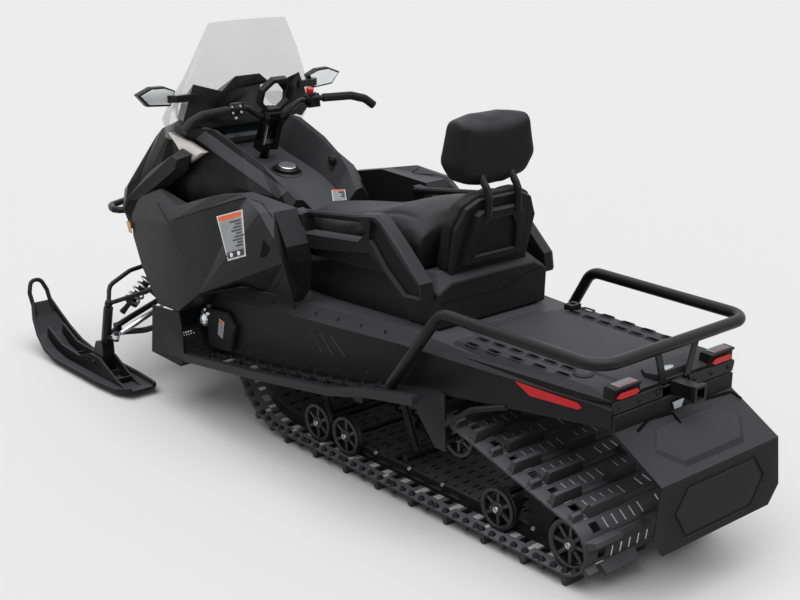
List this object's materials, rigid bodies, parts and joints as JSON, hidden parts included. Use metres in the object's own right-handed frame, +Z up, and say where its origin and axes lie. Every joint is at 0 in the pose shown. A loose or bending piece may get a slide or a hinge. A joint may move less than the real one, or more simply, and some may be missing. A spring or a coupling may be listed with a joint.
{
  "type": "wide-track utility snowmobile",
  "caption": "Utility snowmobile with a lugged rubber track, sprung steerable skis, a tall screen, two-up seat with backrest, cargo deck and rack hoop.",
  "frame": {"origin": "on the ground under the middle of the machine", "axes": "+X forward, +Y to the driver's left, +Z up"},
  "size_m": [3.223, 1.088, 1.42],
  "materials": {
    "moulded_plastic": "grained moulded black",
    "panel_plastic": "fine satin dark grey",
    "black_frame": "textured black powder coat",
    "bare_aluminium": "machined",
    "track_rubber": "moulded rubber",
    "wheel_plastic": "moulded black",
    "seat_vinyl": "grained vinyl",
    "clear_screen": "clear moulded",
    "lamp_clear": "clear lens over bright reflector",
    "lamp_red": "red lens",
    "cast_iron": null,
    "grip_rubber": "moulded rubber"
  },
  "bodies": {
    "chassis": {"backrest_pad": "seat_vinyl", "backrest_shell": "moulded_plastic", "belly_pan": "moulded_plastic", "board_braces": "black_frame", "cargo_deck": "moulded_plastic", "carrier_wheels": "wheel_plastic", "console": "moulded_plastic", "drive_axle": "black_frame", "engine_block": "cast_iron", "front_bumper": "black_frame", "front_frame": "black_frame", "front_shocks": "black_frame", "fuel_cap": "moulded_plastic", "gear_lever": "black_frame", "grab_handles": "moulded_plastic", "headlamps": "lamp_clear", "headrest_pad": "seat_vinyl", "hitch_receiver": "black_frame", "hood": "panel_plastic", "lower_arms": "black_frame", "mirrors": "moulded_plastic", "rack_hoop": "black_frame", "rear_idlers": "wheel_plastic", "rear_plates": "black_frame", "rider_seat": "seat_vinyl", "road_wheels": "wheel_plastic", "running_boards": "black_frame", "seat_base": "moulded_plastic", "side_panels": "panel_plastic", "skid_arms": "black_frame", "skid_shocks": "black_frame", "slide_rails": "black_frame", "snow_flap": "moulded_plastic", "storage_box": "moulded_plastic", "tail_lamps": "lamp_red", "track": "track_rubber", "tunnel": "black_frame", "upper_arms": "black_frame", "windshield": "clear_screen", "windshield_shroud": "moulded_plastic"},
    "steering": {"steering_riser": "black_frame", "handlebar": "black_frame", "hand_grips": "grip_rubber", "hand_controls": "moulded_plastic", "bar_hoop": "moulded_plastic"},
    "left_knuckle": {"spindle_left": "black_frame"},
    "right_knuckle": {"spindle_right": "black_frame"},
    "left_ski": {"ski_left": "moulded_plastic"},
    "right_ski": {"ski_right": "moulded_plastic"},
    "left_tie_rod": {"tie_rod_left": "bare_aluminium"},
    "right_tie_rod": {"tie_rod_right": "bare_aluminium"}
  },
  "joints": [
    {"name": "steering_turn", "type": "hinge", "parent": "chassis", "child": "steering", "pos_m": [0.526, 0, 0.926], "axis": [-0.3746, 0, 0.9272], "range_deg": [-30, 30]},
    {"name": "left_kingpin", "type": "hinge", "parent": "chassis", "child": "left_knuckle", "pos_m": [0.972, 0.45, 0.326], "axis": [-0.2504, 0, 0.9681], "range_deg": [-28, 28]},
    {"name": "left_tie_rod_end", "type": "hinge", "parent": "left_knuckle", "child": "left_tie_rod", "pos_m": [0.928, 0.45, 0.203], "axis": [-0.2504, 0, 0.9681], "range_deg": [-28, 28]},
    {"name": "left_ski_rock", "type": "hinge", "parent": "left_knuckle", "child": "left_ski", "pos_m": [1.046, 0.45, 0.074], "axis": [0, 1, 0], "range_deg": [-15, 15]},
    {"name": "right_kingpin", "type": "hinge", "parent": "chassis", "child": "right_knuckle", "pos_m": [0.972, -0.45, 0.326], "axis": [-0.2504, 0, 0.9681], "range_deg": [-28, 28]},
    {"name": "right_tie_rod_end", "type": "hinge", "parent": "right_knuckle", "child": "right_tie_rod", "pos_m": [0.928, -0.45, 0.203], "axis": [-0.2504, 0, 0.9681], "range_deg": [-28, 28]},
    {"name": "right_ski_rock", "type": "hinge", "parent": "right_knuckle", "child": "right_ski", "pos_m": [1.046, -0.45, 0.074], "axis": [0, 1, 0], "range_deg": [-15, 15]}
  ],
  "couplings": [
    {"joint": "left_kingpin", "follows": "steering_turn", "ratio": 0.9},
    {"joint": "left_tie_rod_end", "follows": "steering_turn", "ratio": -0.9},
    {"joint": "right_kingpin", "follows": "steering_turn", "ratio": 0.9},
    {"joint": "right_tie_rod_end", "follows": "steering_turn", "ratio": -0.9}
  ]
}
